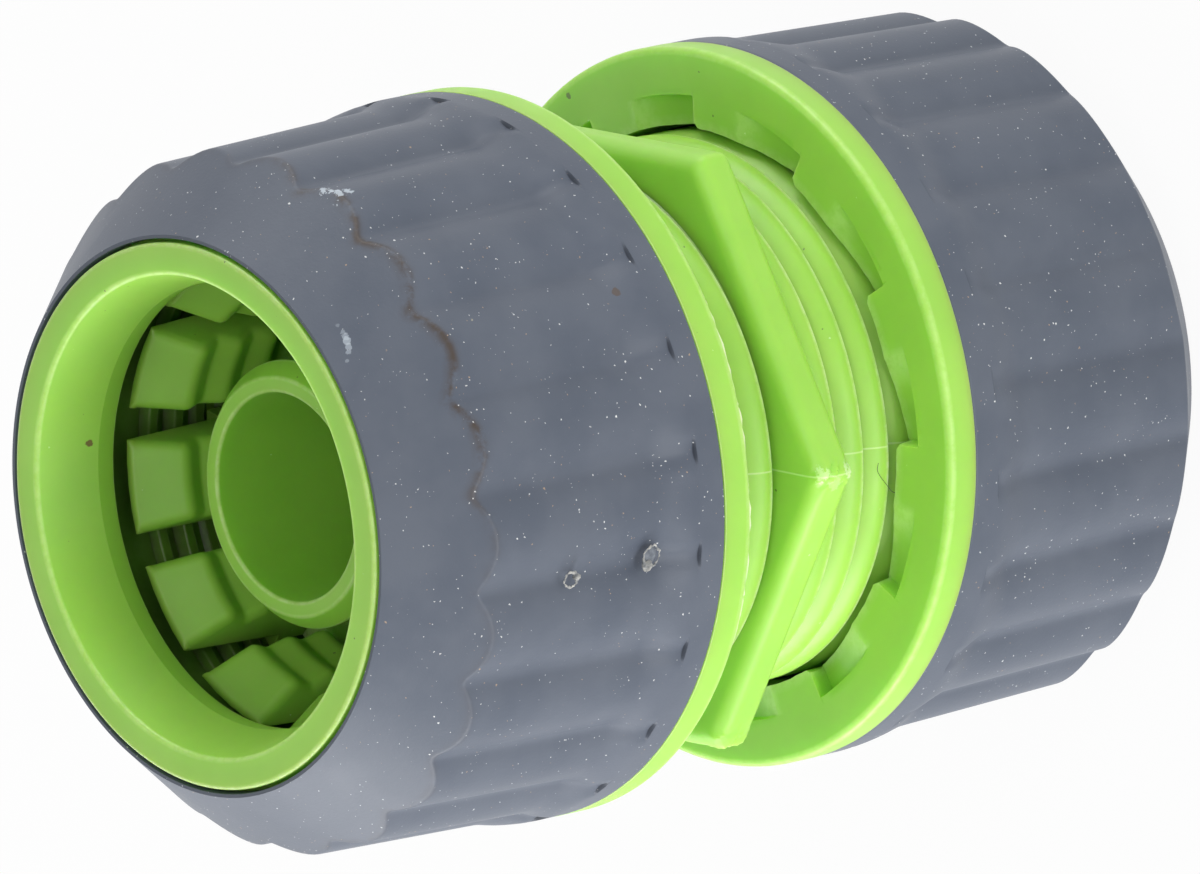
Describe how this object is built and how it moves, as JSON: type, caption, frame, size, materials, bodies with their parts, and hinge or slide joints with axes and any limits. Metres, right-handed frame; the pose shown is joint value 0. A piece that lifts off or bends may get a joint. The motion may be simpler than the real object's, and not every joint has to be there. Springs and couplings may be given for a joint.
{
  "type": "hose connector",
  "caption": "Straight garden hose connector: a body with a hexagon flange and, at each end, a hose tail inside slotted gripping fingers, under a screw nut with a lobed soft grip.",
  "frame": {"origin": "on the floor, in the middle of the lower nut's nose ring", "axes": "+Z along the water bore, from the lower nut to the upper nut; -Y towards the flange corner with the gate scar"},
  "size_m": [0.038, 0.038, 0.0561],
  "materials": {
    "green_body": "moulded hard plastic, satin gloss",
    "green_nut": "moulded hard plastic, satin gloss",
    "grey_grip": "matt soft-touch overmould"
  },
  "bodies": {
    "body": {"connector_body": "green_body"},
    "upper_nut": {"upper_nut_shell": "green_nut", "upper_nut_grip": "grey_grip"},
    "lower_nut": {"lower_nut_shell": "green_nut", "lower_nut_grip": "grey_grip"}
  },
  "joints": [
    {"name": "upper_nut_turn", "type": "hinge", "parent": "body", "child": "upper_nut", "pos_m": [0, 0, 0.0455], "axis": [0, 0, 1], "range_deg": [-1165, 1650]},
    {"name": "lower_nut_turn", "type": "hinge", "parent": "body", "child": "lower_nut", "pos_m": [0, 0, 0.0106], "axis": [0, 0, 1], "range_deg": [-1690, 1125]}
  ]
}
